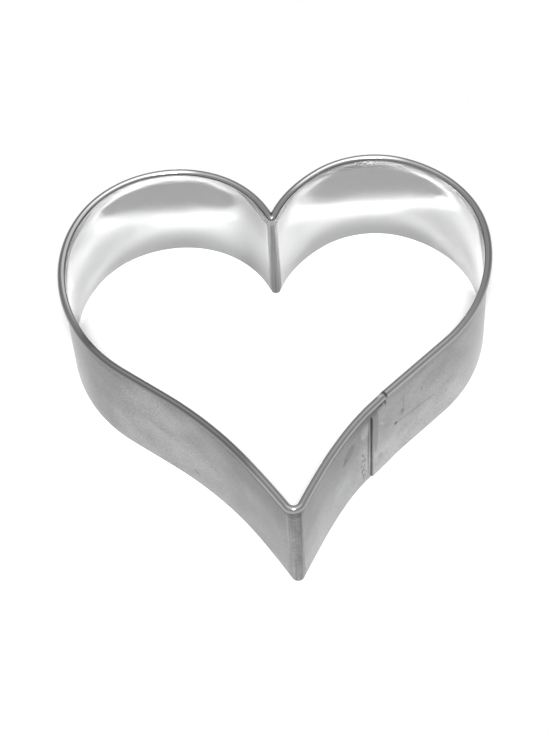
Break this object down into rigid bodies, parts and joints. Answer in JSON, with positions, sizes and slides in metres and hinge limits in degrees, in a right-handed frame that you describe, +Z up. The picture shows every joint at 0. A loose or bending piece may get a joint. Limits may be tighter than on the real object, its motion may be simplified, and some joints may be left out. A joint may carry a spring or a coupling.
{
  "type": "cookie cutter",
  "caption": "Heart-shaped cookie cutter bent from a tinplate strip, with a curled top edge and a spot-welded lap seam.",
  "frame": {"origin": "the middle of the heart's bounding box, in the plane of the cutting edge that it stands on", "axes": "+Z up from the cutting edge to the curled edge; +Y from the tip of the heart towards its lobes; +X towards the flank with the lap seam"},
  "size_m": [0.0966, 0.0998, 0.0254],
  "materials": {
    "tinplate": "bright tinplate with a fine rolling grain along the strip",
    "weld_nugget": "dull grey steel, melted through the tin"
  },
  "bodies": {
    "root": {"heart_strip": "tinplate", "spot_weld_1": "weld_nugget", "spot_weld_2": "weld_nugget"}
  },
  "joints": []
}
